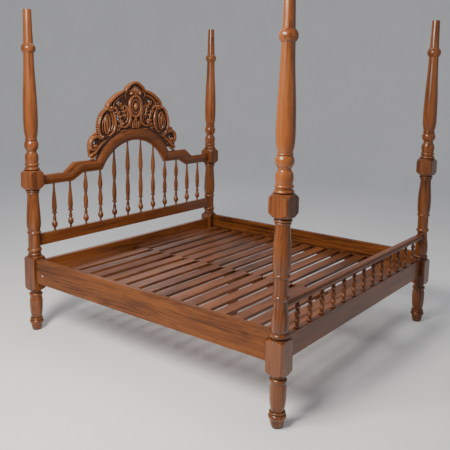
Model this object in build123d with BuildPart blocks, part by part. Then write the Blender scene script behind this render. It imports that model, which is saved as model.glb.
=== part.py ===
"""Four poster bed: turned posts, pierced carved crest, spindle headboard and a low spindle gallery.

Millimetres. The origin is on the floor, midway between the four posts. X runs across the bed,
+Y points to the head end, and Z is up. "Left" is the -X side.
"""
import os
from collections import namedtuple
from math import sqrt

from build123d import *

os.makedirs("parts", exist_ok=True)

# ------------------------------------------------------------------ driving dimensions
# Overall: the posts' centre lines stand this far apart, and every post is this tall.
post_spacing_x = 1960.0
post_spacing_y = 2090.0
post_height = 2265.0

# Square blocks left on the turned posts, where the rails are joined in.
lower_block_side = 110.0
upper_block_side = 118.0
block_chamfer = 7.0
lower_block_clip = 14.0
upper_block_clip = 22.0
block_seat_radius = 44.0
ring_inside_block = 3.0
foot_lower_block_height = 193.0
head_lower_block_height = 247.0
foot_upper_block_height = 121.0
head_upper_block_height = 133.0

# Spigot that joins the tapered top of each post to the block below it.
spigot_diameter = 40.0
spigot_length = 75.0

# Side rails, end rails and their stub tenons.
rail_thickness = 38.0
side_rail_height = 175.0
side_rail_bottom = 365.0
side_rail_setback = 20.0
foot_rail_height = 135.0
head_rail_height = 140.0
rail_edge_round = 3.0
tenon_length = 38.0
tenon_thickness = 20.0
tenon_shoulder = 25.0
top_rail_tenon_shoulder = 12.0

# Bed bolts: each draws a side rail to its post through a barrel nut.
bolt_diameter = 10.0
bolt_head_diameter = 22.0
bolt_head_height = 7.0
bolt_past_nut = 14.0
counterbore_diameter = 26.0
counterbore_depth = 20.0
plug_thickness = 8.0
nut_diameter = 16.0
nut_length = 28.0
nut_from_post = 75.0

# Slats, the ledgers that carry them, and the middle beam with its leg.
slat_count = 15
slat_width = 82.0
slat_thickness = 20.0
slat_pitch = 125.0
slat_head_margin = 48.0
slat_stagger = 40.0
last_slat_gap = 2.0
slat_middle_gap = 2.0
slat_end_gap = 2.0
ledger_height = 35.0
ledger_width = 40.0
ledger_above_rail_bottom = 10.0
ledger_screw_count = 7
screw_diameter = 5.0
screw_head_diameter = 10.0
screw_length = 62.0
beam_width = 70.0
beam_height = 42.0
beam_tenon_length = 14.0
beam_tenon_width = 50.0
beam_tenon_height = 22.0
beam_tenon_rise = 10.0
centre_leg_side = 60.0
centre_leg_foot_side = 46.0
centre_leg_pin_diameter = 20.0
centre_leg_pin_length = 25.0

# Headboard: lower rail, shaped top rail, spindles and crest.
headboard_thickness = 36.0
headboard_lower_rail_thickness = 32.0
headboard_lower_rail_height = 84.0
headboard_rail_in_post = 25.0
top_rail_end_height = 72.0
top_rail_above_block = 18.0
top_rail_shelf_rise = 68.0
top_rail_shelf_lower_rise = 52.0
top_rail_shelf_half_width = 617.0
top_rail_step_run = 90.0
top_rail_lower_half_width = 538.0
top_rail_lower_step_run = 96.0
arch_half_width = 400.0
arch_rise = 219.0
arch_inner_half_width = 350.0
arch_inner_rise = 211.0
top_rail_corner_round = 14.0
top_rail_edge_round = 9.0
headboard_spindle_count = 12
headboard_spindle_pitch = 145.6
spindle_pin_diameter = 10.0
spindle_pin_length = 14.0
crest_thickness = 26.0
crest_height = 376.0
crest_boss_half_width = 62.0
crest_boss_half_height = 88.0
crest_boss_level = 174.0
crest_boss_relief = 10.0
crest_bead_radius = 14.0
crest_dowel_diameter = 10.0
crest_dowel_length = 44.0
crest_dowel_spread = 250.0
crest_dowel_drill_run_in = 20.0

# Gallery over the foot rail.
gallery_spindle_count = 13
gallery_opening_height = 160.0
gallery_rail_height = 32.0
gallery_rail_width = 46.0
gallery_rail_in_post = 24.0
gallery_rail_top_round = 9.0
gallery_rail_groove_radius = 4.0

# Small edge breaks.
slat_edge_break = 1.5

# Clearances.
joint_gap = 0.3
end_gap = 1.0

# ------------------------------------------------------------------ places worked out from them
half_x = post_spacing_x / 2
half_y = post_spacing_y / 2
block_reach = lower_block_side / 2
side_rail_x = half_x + block_reach - side_rail_setback - rail_thickness / 2
side_rail_inner_x = side_rail_x - rail_thickness / 2
side_rail_top = side_rail_bottom + side_rail_height
side_rail_middle = side_rail_bottom + side_rail_height / 2
foot_rail_top = side_rail_bottom + foot_rail_height
ledger_bottom = side_rail_bottom + ledger_above_rail_bottom
slat_bottom = ledger_bottom + ledger_height
beam_bottom = slat_bottom - beam_height
beam_tenon_bottom = beam_bottom + beam_tenon_rise

# ------------------------------------------------------------------ turned outlines
# A turned piece is a stack of turnings from its bottom end up. Each one starts where the last one
# ends: "line" is straight, "bead" swells to its belly radius halfway up (or draws in, as a cove),
# "vase" swells to its belly at a share of its height and then draws in to its end radius, and
# "block" is a square left unturned, with its corners clipped by the lathe.
Turning = namedtuple("Turning", "name shape height end belly share", defaults=(0.0, 0.5))

leg_turnings = [
    Turning("toe", "bead", 48, 40, 37.5),
    Turning("foot ring", "bead", 32, 41, 50),
    Turning("upper foot ring", "bead", 15, 36, 45),
    Turning("leg vase", "vase", 161, 41, 46.5, 0.76),
    Turning("leg ring", "bead", 25, 38, 47.5),
    Turning("leg neck", "bead", 23, 42, 36),
]
toe_radius = 29.0

foot_middle_turnings = [
    Turning("seat", "line", 5, 42),
    Turning("base ring", "bead", 27, 42, lower_block_side / 2 - ring_inside_block),
    Turning("low vase", "vase", 163, 37, 47.5, 0.27),
    Turning("cove", "bead", 17, 41, 36.5),
    Turning("drum lower ring", "bead", 24, 39, 47),
    Turning("drum", "line", 86, 39),
    Turning("drum seat", "line", 5, 39.5),
    Turning("drum upper ring", "bead", 22, 42, 47),
    Turning("tall vase", "vase", 258, 39, 49, 0.33),
    Turning("thin ring", "bead", 14, 40, 44),
    Turning("collar", "bead", 16, 42, 49),
    Turning("block seat", "line", 9, block_seat_radius),
]
head_middle_turnings = [
    Turning("seat", "line", 6, 43),
    Turning("thin base ring", "bead", 16, 43, 47),
    Turning("base groove", "line", 8, 43),
    Turning("base ring", "bead", 30, 43, 51),
    Turning("drum", "line", 98, 42),
    Turning("drum upper ring", "bead", 24, 42, 48.5),
    Turning("drum seat", "line", 8, 43),
    Turning("tall vase", "vase", 260, 40, 50, 0.18),
    Turning("thin ring", "bead", 14, 41, 45),
    Turning("collar", "bead", 16, 42, 49),
    Turning("block seat", "line", 4, block_seat_radius),
]
foot_top_turnings = [
    Turning("collar", "bead", 20, 44, 53),
    Turning("groove", "line", 7, 43),
    Turning("upper collar", "bead", 19, 43, 50),
    Turning("drum seat", "line", 7, 44),
    Turning("drum", "bead", 54, 43, 47),
    Turning("neck", "bead", 26, 38, 34.5),
    Turning("ball", "bead", 60, 38, 49),
    Turning("ball ring", "bead", 12, 38, 43),
    Turning("taper", "vase", 536, 35, 50, 0.17),
    Turning("top ball", "bead", 65, 33, 49),
]
head_top_turnings = [
    Turning("collar", "bead", 22, 44, 53),
    Turning("groove", "line", 10, 43),
    Turning("upper collar", "bead", 20, 43, 50),
    Turning("drum seat", "line", 8, 44),
    Turning("drum", "bead", 57, 43, 47),
    Turning("neck", "bead", 24, 38, 34.5),
    Turning("ball", "bead", 70, 38, 49),
    Turning("ball ring", "bead", 12, 38, 43),
    Turning("taper", "vase", 584, 35, 50, 0.22),
    Turning("top ball", "bead", 62, 33, 49),
]
post_tip_radius = 28.0
post_tip_chamfer = 3.0

spindle_base_turnings = [
    Turning("neck", "bead", 24, 10, 7.5),
    Turning("bulb", "vase", 60, 10, 21.5, 0.42),
    Turning("ring", "bead", 9, 10, 15.5),
    Turning("groove", "line", 5, 10),
    Turning("middle ring", "bead", 9, 10, 14.5),
    Turning("cove", "bead", 20, 11, 9),
    Turning("collar", "bead", 15, 12, 20),
]
spindle_bead = Turning("bead", "bead", 16, 10, 16.5)
spindle_foot_radius = 10.0
spindle_tip_radius = 7.0
spindle_taper_belly = 18.0
long_spindle_height = 380.0
long_spindle_shaft_share = 0.45

gallery_disc = Turning("disc", "bead", 10, 8, 16.5)
gallery_neck = Turning("neck", "bead", 8, 8, 6.8)
gallery_thin_ring = Turning("thin ring", "bead", 5, 8, 11)
gallery_bulb = Turning("bulb", "vase", 31, 7.5, 15, 0.4)
gallery_upper_bulb = Turning("upper bulb", "vase", 31, 8, 15, 0.6)
gallery_ring = Turning("ring", "bead", 7, 8, 13)
gallery_foot_radius = 12.0
gallery_belly_radius = 16.5


def height_of(turnings):
    """Height of a whole stack of turnings."""
    return sum(turning.height for turning in turnings)


def level_of(turnings, name):
    """Height at which the named turning starts, above the bottom of its stack."""
    names = [turning.name for turning in turnings]
    return height_of(turnings[:names.index(name)])


def named(turnings, name):
    """The turning with this name."""
    return next(turning for turning in turnings if turning.name == name)


def block(name, height, side, clip):
    """A square block in a stack: its belly is the side, and its share is the clip at the corners."""
    return Turning(name, "block", height, block_seat_radius, side, clip)


def corner_radius(side):
    """Distance from the axis to the chamfered corner of a block."""
    return sqrt((side / 2) ** 2 + (side / 2 - block_chamfer) ** 2) + 0.5


def draw_turnings(turnings, bottom, start_radius):
    """Draw half of a turned outline: out from the axis, up through each turning, and back."""
    Line((0, bottom), (start_radius, bottom))
    radius, low = start_radius, bottom
    for turning in turnings:
        high = low + turning.height
        if turning.shape == "line":
            Line((radius, low), (turning.end, high))
        elif turning.shape == "bead":
            ThreePointArc((radius, low), (turning.belly, (low + high) / 2), (turning.end, high))
        elif turning.shape == "vase":
            widest = low + turning.height * turning.share
            rise, fall = widest - low, high - widest
            Bezier((radius, low), (turning.belly, low + rise * 0.35), (turning.belly, widest))
            Bezier(
                (turning.belly, widest),
                (turning.belly, widest + fall * 0.45),
                (turning.end, high - fall * 0.35),
                (turning.end, high),
            )
        elif turning.shape == "block":
            flat, reach, clip = turning.belly / 2 - 1, corner_radius(turning.belly), turning.share
            Polyline(
                (radius, low), (flat, low), (reach, low + clip),
                (reach, high - clip), (flat, high), (turning.end, high),
            )
        radius, low = turning.end, high
    Line((radius, low), (0, low))
    Line((0, low), (0, bottom))


def turn(turnings, x, y, bottom, start_radius, mode=Mode.ADD):
    """Revolve a stack of turnings about the vertical line through (x, y), and square its blocks."""
    with BuildSketch(Plane(origin=(x, y, 0), x_dir=(1, 0, 0), z_dir=(0, -1, 0))) as half:
        with BuildLine():
            draw_turnings(turnings, bottom, start_radius)
        make_face()
    revolve(half.sketch, axis=Axis((x, y, 0), (0, 0, 1)), mode=mode)
    low = bottom
    for turning in turnings:
        if turning.shape == "block":
            across_corners = (turning.belly - block_chamfer) * sqrt(2)
            for side, angle in ((turning.belly, 0), (across_corners, 45)):
                with BuildSketch(Plane((x, y, low))) as waste:
                    Rectangle(turning.belly * 3, turning.belly * 3)
                    Rectangle(side, side, rotation=angle, mode=Mode.SUBTRACT)
                extrude(waste.sketch, amount=turning.height, mode=Mode.SUBTRACT)
        low += turning.height


def cut_box(low, high):
    """Cut the box between two corners out of the piece being made."""
    size = [b - a for a, b in zip(low, high)]
    with Locations(Vector(*[(a + b) / 2 for a, b in zip(low, high)])):
        Box(*size, mode=Mode.SUBTRACT)


def span(a, b):
    """Two numbers in rising order."""
    return min(a, b), max(a, b)


def cut_span(x, y, z):
    """Cut the box whose extent along each axis is given as a pair of numbers in any order."""
    pairs = [span(*x), span(*y), span(*z)]
    cut_box([low for low, high in pairs], [high for low, high in pairs])


def cut_round(x, y, z, diameter, length, direction):
    """Drill from the point (x, y, z) along a direction."""
    with BuildSketch(Plane(origin=(x, y, z), z_dir=direction)) as section:
        Circle(diameter / 2)
    extrude(section.sketch, amount=length, mode=Mode.SUBTRACT)


def add_round(x, y, z, diameter, length, direction):
    """Add a round bar that starts at the point (x, y, z) and runs along a direction."""
    with BuildSketch(Plane(origin=(x, y, z), z_dir=direction)) as section:
        Circle(diameter / 2)
    extrude(section.sketch, amount=length)


def keep(piece, name):
    """Label a finished piece and write it."""
    piece.part.label = name
    export_step(piece.part, "parts/" + name + ".step")


sides = {"left": -1, "right": 1}
ends = {"foot": -1, "head": 1}

# ------------------------------------------------------------------ posts
foot_lower_block = block("lower block", foot_lower_block_height, lower_block_side, lower_block_clip)
head_lower_block = block("lower block", head_lower_block_height, lower_block_side, lower_block_clip)
foot_upper_block = block("upper block", foot_upper_block_height, upper_block_side, upper_block_clip)
head_upper_block = block("upper block", head_upper_block_height, upper_block_side, upper_block_clip)
lower_turnings = {
    "foot": leg_turnings + [foot_lower_block] + foot_middle_turnings + [foot_upper_block],
    "head": leg_turnings + [head_lower_block] + head_middle_turnings + [head_upper_block],
}
middle_turnings = {"foot": foot_middle_turnings, "head": head_middle_turnings}
top_turnings = {"foot": foot_top_turnings, "head": head_top_turnings}

# Levels on the finished posts that the rails are placed from.
head_drum = named(head_middle_turnings, "drum")
drum_middle = level_of(lower_turnings["head"], "drum") + head_drum.height / 2
headboard_rail_bottom = drum_middle - headboard_lower_rail_height / 2
headboard_rail_top = drum_middle + headboard_lower_rail_height / 2
top_rail_bottom = level_of(lower_turnings["head"], "upper block") + top_rail_above_block
top_rail_top = top_rail_bottom + top_rail_end_height
gallery_rail_bottom = foot_rail_top + gallery_opening_height
gallery_rail_top = gallery_rail_bottom + gallery_rail_height
top_rail_tenon_bottom = top_rail_bottom + top_rail_tenon_shoulder
top_rail_tenon_top = top_rail_top - top_rail_tenon_shoulder
gallery_housing_radius = named(foot_middle_turnings, "low vase").end
end_rail_height = {"foot": foot_rail_height, "head": head_rail_height}


def cut_end_rail_mortise(end, side, post_x, post_y):
    """Mortise in a lower block for the foot rail or the head rail."""
    face = post_x - side * block_reach
    top = side_rail_bottom + end_rail_height[end] - tenon_shoulder
    cut_span(
        (face, face + side * (tenon_length + end_gap)),
        (post_y - tenon_thickness / 2 - joint_gap, post_y + tenon_thickness / 2 + joint_gap),
        (side_rail_bottom + tenon_shoulder - joint_gap, top + joint_gap),
    )


def cut_side_rail_mortise(end, side, post_y):
    """Mortise in a lower block for a side rail, with the bed bolt's hole and counterbore."""
    rail_x = side * side_rail_x
    face = post_y - end * block_reach
    outer_face = post_y + end * block_reach
    cut_span(
        (rail_x - tenon_thickness / 2 - joint_gap, rail_x + tenon_thickness / 2 + joint_gap),
        (face, face + end * (tenon_length + end_gap)),
        (side_rail_bottom + tenon_shoulder - joint_gap, bolt_level + tenon_reach + joint_gap),
    )
    bolt_hole = bolt_diameter + 2 * joint_gap
    cut_round(rail_x, outer_face, bolt_level, bolt_hole, lower_block_side, (0, -end, 0))
    bore = counterbore_diameter + 2 * joint_gap
    cut_round(rail_x, outer_face, bolt_level, bore, counterbore_depth, (0, -end, 0))


# The bolt sits low enough for the foot post's shorter block to hold the whole tenon.
foot_block_top = level_of(lower_turnings["foot"], "lower block") + foot_lower_block_height
tenon_top_limit = min(side_rail_top, foot_block_top) - tenon_shoulder
bolt_level = (side_rail_bottom + tenon_shoulder + tenon_top_limit) / 2
tenon_reach = (tenon_top_limit - side_rail_bottom - tenon_shoulder) / 2

for end_name, end in ends.items():
    for side_name, side in sides.items():
        post_x, post_y = side * half_x, end * half_y
        joint_level = height_of(lower_turnings[end_name])
        with BuildPart() as lower_post:
            turn(lower_turnings[end_name], post_x, post_y, 0, toe_radius)
            socket = spigot_diameter + 2 * joint_gap
            cut_round(post_x, post_y, joint_level, socket, spigot_length + end_gap, (0, 0, -1))
            cut_end_rail_mortise(end_name, side, post_x, post_y)
            cut_side_rail_mortise(end, side, post_y)
            inward = -side
            if end_name == "head":
                # The lower headboard rail is housed in the drum, the top rail in the upper block.
                half_rail = headboard_lower_rail_thickness / 2 + joint_gap
                housing = head_drum.end - headboard_rail_in_post - end_gap
                cut_span(
                    (post_x + inward * housing, post_x + inward * upper_block_side),
                    (post_y - half_rail, post_y + half_rail),
                    (headboard_rail_bottom - joint_gap, headboard_rail_top + joint_gap),
                )
                face = post_x + inward * upper_block_side / 2
                cut_span(
                    (face, face - inward * (tenon_length + end_gap)),
                    (post_y - tenon_thickness / 2 - joint_gap, post_y + tenon_thickness / 2 + joint_gap),
                    (top_rail_tenon_bottom - joint_gap, top_rail_tenon_top + joint_gap),
                )
            else:
                # The gallery rail is housed in the narrow part of the low vase.
                half_rail = gallery_rail_width / 2 + joint_gap
                housing = gallery_housing_radius - gallery_rail_in_post - end_gap
                cut_span(
                    (post_x + inward * housing, post_x + inward * upper_block_side),
                    (post_y - half_rail, post_y + half_rail),
                    (gallery_rail_bottom - joint_gap, gallery_rail_top + joint_gap),
                )
        keep(lower_post, "post_lower_" + end_name + "_" + side_name)

        above = top_turnings[end_name]
        tip_height = post_height - joint_level - height_of(above)
        tip = Turning("tip", "line", tip_height, post_tip_radius)
        with BuildPart() as upper_post:
            turn(above + [tip], post_x, post_y, joint_level, block_seat_radius)
            add_round(post_x, post_y, joint_level, spigot_diameter, spigot_length, (0, 0, -1))
            chamfer(upper_post.faces().sort_by(Axis.Z)[-1].edges(), post_tip_chamfer)
        keep(upper_post, "post_upper_" + end_name + "_" + side_name)

# ------------------------------------------------------------------ side rails and their bolts
rail_end_y = half_y - block_reach
nut_y = rail_end_y - nut_from_post
ledger_screw_pitch = 2 * rail_end_y / ledger_screw_count
ledger_screw_ys = [
    (index - (ledger_screw_count - 1) / 2) * ledger_screw_pitch for index in range(ledger_screw_count)
]
ledger_screw_level = ledger_bottom + ledger_height / 2

for side_name, side in sides.items():
    rail_x = side * side_rail_x
    with BuildPart() as side_rail:
        with Locations((rail_x, 0, side_rail_middle)):
            Box(rail_thickness, 2 * half_y, side_rail_height)
        fillet(side_rail.edges().filter_by(Axis.Y), rail_edge_round)
        # The shoulders meet the blocks. Where the rail is higher than a block, it runs on over the
        # block and is scribed to the turned rings above it.
        for end_name, end in ends.items():
            block_top = level_of(lower_turnings[end_name], "lower block")
            block_top += named(lower_turnings[end_name], "lower block").height
            cut_span(
                (rail_x - rail_thickness, rail_x + rail_thickness),
                (end * rail_end_y, end * (half_y + block_reach)),
                (0, block_top + joint_gap),
            )
            if side_rail_top > block_top + joint_gap:
                rings = [
                    turning._replace(end=turning.end + joint_gap, belly=turning.belly + joint_gap)
                    for turning in middle_turnings[end_name]
                ]
                start_radius = block_seat_radius + joint_gap
                turn(rings, side * half_x, end * half_y, block_top, start_radius, Mode.SUBTRACT)
        with Locations((rail_x, 0, bolt_level)):
            Box(tenon_thickness, 2 * (rail_end_y + tenon_length), 2 * tenon_reach)
        for end in ends.values():
            # The head end's nut goes in from outside, and the foot end's from inside.
            mouth = rail_x + end * side * rail_thickness / 2
            nut_hole = nut_diameter + 2 * joint_gap
            into_rail = (-end * side, 0, 0)
            cut_round(mouth, end * nut_y, bolt_level, nut_hole, nut_length + end_gap, into_rail)
            bolt_run = tenon_length + nut_from_post + bolt_past_nut + end_gap
            start = end * (rail_end_y + tenon_length)
            bolt_hole = bolt_diameter + 2 * joint_gap
            cut_round(rail_x, start, bolt_level, bolt_hole, bolt_run, (0, -end, 0))
        for screw_y in ledger_screw_ys:
            hole = screw_diameter + 2 * joint_gap
            depth = screw_length - ledger_width + end_gap
            cut_round(side * side_rail_inner_x, screw_y, ledger_screw_level, hole, depth, (side, 0, 0))
    keep(side_rail, "side_rail_" + side_name)

with BuildPart() as bed_bolts:
    for end in ends.values():
        for side in sides.values():
            seat_y = end * (half_y + block_reach - counterbore_depth)
            rail_x = side * side_rail_x
            shank = abs(seat_y) - nut_y + bolt_past_nut
            add_round(rail_x, seat_y, bolt_level, bolt_diameter, shank, (0, -end, 0))
            add_round(rail_x, seat_y, bolt_level, bolt_head_diameter, bolt_head_height, (0, end, 0))
keep(bed_bolts, "bed_bolts")

with BuildPart() as barrel_nuts:
    for end in ends.values():
        for side in sides.values():
            mouth = side * side_rail_x + end * side * rail_thickness / 2
            add_round(mouth, end * nut_y, bolt_level, nut_diameter, nut_length, (-end * side, 0, 0))
            clear = bolt_diameter + 2 * joint_gap
            with Locations((side * side_rail_x, end * nut_y, bolt_level)):
                Cylinder(clear / 2, 2 * nut_diameter, rotation=(90, 0, 0), mode=Mode.SUBTRACT)
keep(barrel_nuts, "barrel_nuts")

with BuildPart() as bolt_plugs:
    for end in ends.values():
        for side in sides.values():
            place = side * side_rail_x, end * (half_y + block_reach), bolt_level
            add_round(*place, counterbore_diameter, plug_thickness, (0, -end, 0))
keep(bolt_plugs, "bolt_plugs")

# ------------------------------------------------------------------ foot rail and head rail
end_rail_half = half_x - block_reach
gallery_pitch = 2 * (half_x - gallery_housing_radius) / (gallery_spindle_count + 1)
gallery_xs = [(i - (gallery_spindle_count - 1) / 2) * gallery_pitch for i in range(gallery_spindle_count)]

for end_name, end in ends.items():
    rail_height = end_rail_height[end_name]
    rail_y = end * half_y
    with BuildPart() as end_rail:
        with Locations((0, rail_y, side_rail_bottom + rail_height / 2)):
            Box(2 * end_rail_half, rail_thickness, rail_height)
        fillet(end_rail.edges().filter_by(Axis.X), rail_edge_round)
        with Locations((0, rail_y, side_rail_bottom + rail_height / 2)):
            Box(2 * (end_rail_half + tenon_length), tenon_thickness, rail_height - 2 * tenon_shoulder)
        # Pocket for the middle beam's tenon.
        inner_face = rail_y - end * rail_thickness / 2
        cut_span(
            (-beam_tenon_width / 2 - joint_gap, beam_tenon_width / 2 + joint_gap),
            (inner_face, inner_face + end * (beam_tenon_length + end_gap)),
            (beam_tenon_bottom - joint_gap, beam_tenon_bottom + beam_tenon_height + joint_gap),
        )
        if end_name == "foot":
            for x in gallery_xs:
                hole = spindle_pin_diameter + 2 * joint_gap
                cut_round(x, rail_y, foot_rail_top, hole, spindle_pin_length + end_gap, (0, 0, -1))
    keep(end_rail, end_name + "_rail")

# ------------------------------------------------------------------ ledgers, beam, leg and slats
ledger_x = side_rail_inner_x - ledger_width / 2
ledger_half_length = rail_end_y - end_gap

for side_name, side in sides.items():
    with BuildPart() as ledger:
        with Locations((side * ledger_x, 0, ledger_bottom + ledger_height / 2)):
            Box(ledger_width, 2 * ledger_half_length, ledger_height)
        chamfer(ledger.edges().filter_by(Axis.Y), slat_edge_break)
        for screw_y in ledger_screw_ys:
            with Locations(
                Plane(
                    origin=(side * (side_rail_inner_x - ledger_width), screw_y, ledger_screw_level),
                    z_dir=(-side, 0, 0),
                )
            ):
                CounterSinkHole(
                    screw_diameter / 2 + joint_gap, screw_head_diameter / 2 + joint_gap, ledger_width
                )
    keep(ledger, "slat_ledger_" + side_name)

with BuildPart() as ledger_screws:
    for side in sides.values():
        for screw_y in ledger_screw_ys:
            face = side * (side_rail_inner_x - ledger_width)
            add_round(face, screw_y, ledger_screw_level, screw_diameter, screw_length, (side, 0, 0))
            head_depth = (screw_head_diameter - screw_diameter) / 2
            with BuildSketch(Plane(origin=(face, screw_y, ledger_screw_level), z_dir=(side, 0, 0))):
                Circle(screw_head_diameter / 2)
            extrude(amount=head_depth, taper=45)
keep(ledger_screws, "ledger_screws")

with BuildPart() as centre_beam:
    beam_end = half_y - rail_thickness / 2
    with Locations((0, 0, beam_bottom + beam_height / 2)):
        Box(beam_width, 2 * beam_end, beam_height)
    with Locations((0, 0, beam_tenon_bottom + beam_tenon_height / 2)):
        Box(beam_tenon_width, 2 * (beam_end + beam_tenon_length), beam_tenon_height)
    pin_hole = centre_leg_pin_diameter + 2 * joint_gap
    cut_round(0, 0, beam_bottom, pin_hole, centre_leg_pin_length + end_gap, (0, 0, 1))
keep(centre_beam, "centre_beam")

with BuildPart() as centre_leg:
    with BuildSketch(Plane.XY):
        Rectangle(centre_leg_foot_side, centre_leg_foot_side)
    with BuildSketch(Plane.XY.offset(beam_bottom)):
        Rectangle(centre_leg_side, centre_leg_side)
    loft()
    add_round(0, 0, beam_bottom, centre_leg_pin_diameter, centre_leg_pin_length, (0, 0, 1))
keep(centre_leg, "centre_leg")

slat_outer_x = side_rail_inner_x - slat_end_gap
slat_length = slat_outer_x - slat_middle_gap / 2
for side_name, side in sides.items():
    head_margin = slat_head_margin - (slat_stagger if side > 0 else 0)
    first_y = rail_end_y - head_margin - slat_width / 2
    slat_ys = [first_y - index * slat_pitch for index in range(slat_count)]
    slat_ys.append(slat_ys[-1] - slat_width - last_slat_gap)
    with BuildPart() as slats:
        for slat_y in slat_ys:
            middle_x = side * (slat_middle_gap / 2 + slat_length / 2)
            with Locations((middle_x, slat_y, slat_bottom + slat_thickness / 2)):
                Box(slat_length, slat_width, slat_thickness)
        chamfer(slats.edges().filter_by(Axis.X), slat_edge_break)
    keep(slats, "slats_" + side_name)

# ------------------------------------------------------------------ headboard rails
with BuildPart() as headboard_lower_rail:
    reach = half_x - head_drum.end + headboard_rail_in_post
    with Locations((0, half_y, drum_middle)):
        Box(2 * reach, headboard_lower_rail_thickness, headboard_lower_rail_height)
    fillet(headboard_lower_rail.edges().filter_by(Axis.X), rail_edge_round)
    for index in range(headboard_spindle_count):
        x = (index - (headboard_spindle_count - 1) / 2) * headboard_spindle_pitch
        hole = spindle_pin_diameter + 2 * joint_gap
        cut_round(x, half_y, headboard_rail_top, hole, spindle_pin_length + end_gap, (0, 0, -1))
keep(headboard_lower_rail, "headboard_lower_rail")

shelf_top = top_rail_top + top_rail_shelf_rise
shelf_bottom = top_rail_bottom + top_rail_shelf_lower_rise
arch_top = shelf_top + arch_rise
arch_inner_top = shelf_bottom + arch_inner_rise


def arc_level(x, half_width, foot_level, rise):
    """Height of a circular arc that stands on foot_level, at the distance x from its middle."""
    radius = (half_width ** 2 + rise ** 2) / (2 * rise)
    return foot_level + rise - radius + sqrt(radius ** 2 - x ** 2)


def top_rail_underside(x):
    """Height of the top rail's lower edge at the distance x from the middle of the bed."""
    x = abs(x)
    if x < arch_inner_half_width:
        return arc_level(x, arch_inner_half_width, shelf_bottom, arch_inner_rise)
    if x < top_rail_lower_half_width:
        return shelf_bottom
    if x < top_rail_lower_half_width + top_rail_lower_step_run:
        share = (x - top_rail_lower_half_width) / top_rail_lower_step_run
        return shelf_bottom - share * top_rail_shelf_lower_rise
    return top_rail_bottom


def spindle_place(index):
    """The x of a headboard spindle, and the height where its turned part ends."""
    x = (index - (headboard_spindle_count - 1) / 2) * headboard_spindle_pitch
    levels = [top_rail_underside(x + offset) for offset in (-spindle_tip_radius, 0, spindle_tip_radius)]
    return x, min(levels) - joint_gap


with BuildPart() as headboard_top_rail:
    rail_half = half_x - upper_block_side / 2
    step_foot = top_rail_shelf_half_width + top_rail_step_run
    lower_step_foot = top_rail_lower_half_width + top_rail_lower_step_run
    with BuildSketch(Plane.XZ.offset(-half_y - headboard_thickness / 2)):
        with BuildLine():
            for side in sides.values():
                Polyline(
                    (side * arch_half_width, shelf_top),
                    (side * top_rail_shelf_half_width, shelf_top),
                    (side * step_foot, top_rail_top),
                    (side * rail_half, top_rail_top),
                    (side * rail_half, top_rail_bottom),
                    (side * lower_step_foot, top_rail_bottom),
                    (side * top_rail_lower_half_width, shelf_bottom),
                    (side * arch_inner_half_width, shelf_bottom),
                )
            ThreePointArc((-arch_half_width, shelf_top), (0, arch_top), (arch_half_width, shelf_top))
            ThreePointArc(
                (-arch_inner_half_width, shelf_bottom),
                (0, arch_inner_top),
                (arch_inner_half_width, shelf_bottom),
            )
        outline = make_face()
        corners = [vertex for vertex in outline.vertices() if abs(vertex.X) < rail_half - 1]
        fillet(corners, top_rail_corner_round)
    extrude(amount=headboard_thickness)
    fillet(headboard_top_rail.faces().filter_by(Axis.Y).edges().filter_by(Axis.Z, reverse=True),
           top_rail_edge_round)
    for side in sides.values():
        tenon_middle = (top_rail_tenon_bottom + top_rail_tenon_top) / 2
        with Locations((side * rail_half, half_y, tenon_middle)):
            Box(2 * tenon_length, tenon_thickness, top_rail_tenon_top - top_rail_tenon_bottom)
    for index in range(headboard_spindle_count):
        x, top = spindle_place(index)
        hole = spindle_pin_diameter + 2 * joint_gap
        cut_round(x, half_y, top, hole, spindle_pin_length + end_gap, (0, 0, 1))
    for side in sides.values():
        x = side * crest_dowel_spread
        level = arc_level(x, arch_half_width, shelf_top, arch_rise)
        hole = crest_dowel_diameter + 2 * joint_gap
        drill = crest_dowel_drill_run_in + crest_dowel_length / 2 + end_gap
        cut_round(x, half_y, level + crest_dowel_drill_run_in, hole, drill, (0, 0, -1))
keep(headboard_top_rail, "headboard_top_rail")

# ------------------------------------------------------------------ headboard spindles
for index in range(headboard_spindle_count):
    x, top = spindle_place(index)
    bottom = headboard_rail_top
    rest = top - bottom - height_of(spindle_base_turnings)
    if top - bottom > long_spindle_height:
        shaft = (rest - spindle_bead.height) * long_spindle_shaft_share
        upper = [
            Turning("shaft", "vase", shaft, 10.5, spindle_taper_belly, 0.35),
            spindle_bead,
            Turning("taper", "vase", rest - shaft - spindle_bead.height, spindle_tip_radius,
                    spindle_taper_belly, 0.15),
        ]
    else:
        upper = [Turning("taper", "vase", rest, spindle_tip_radius, spindle_taper_belly, 0.15)]
    with BuildPart() as spindle:
        turn(spindle_base_turnings + upper, x, half_y, bottom, spindle_foot_radius)
        add_round(x, half_y, bottom, spindle_pin_diameter, spindle_pin_length, (0, 0, -1))
        add_round(x, half_y, top, spindle_pin_diameter, spindle_pin_length, (0, 0, 1))
    keep(spindle, "headboard_spindle_%02d" % (index + 1))

# ------------------------------------------------------------------ crest
# The right half of the outline, as drawn: (distance from the middle, height above the arch). Each
# list is one smooth sweep, and the sweeps meet in the notches between one scroll and the next.
crest_sweeps = [
    [(0, 376), (62, 350), (104, 310)],
    [(104, 310), (160, 296), (216, 268), (272, 222), (300, 184), (296, 164)],
    [(296, 164), (334, 150), (370, 106), (390, 50), (387, -4), (370, -38)],
    [(370, -38), (412, -30), (456, -50), (478, -96), (477, -150), (470, -196)],
]
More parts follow.
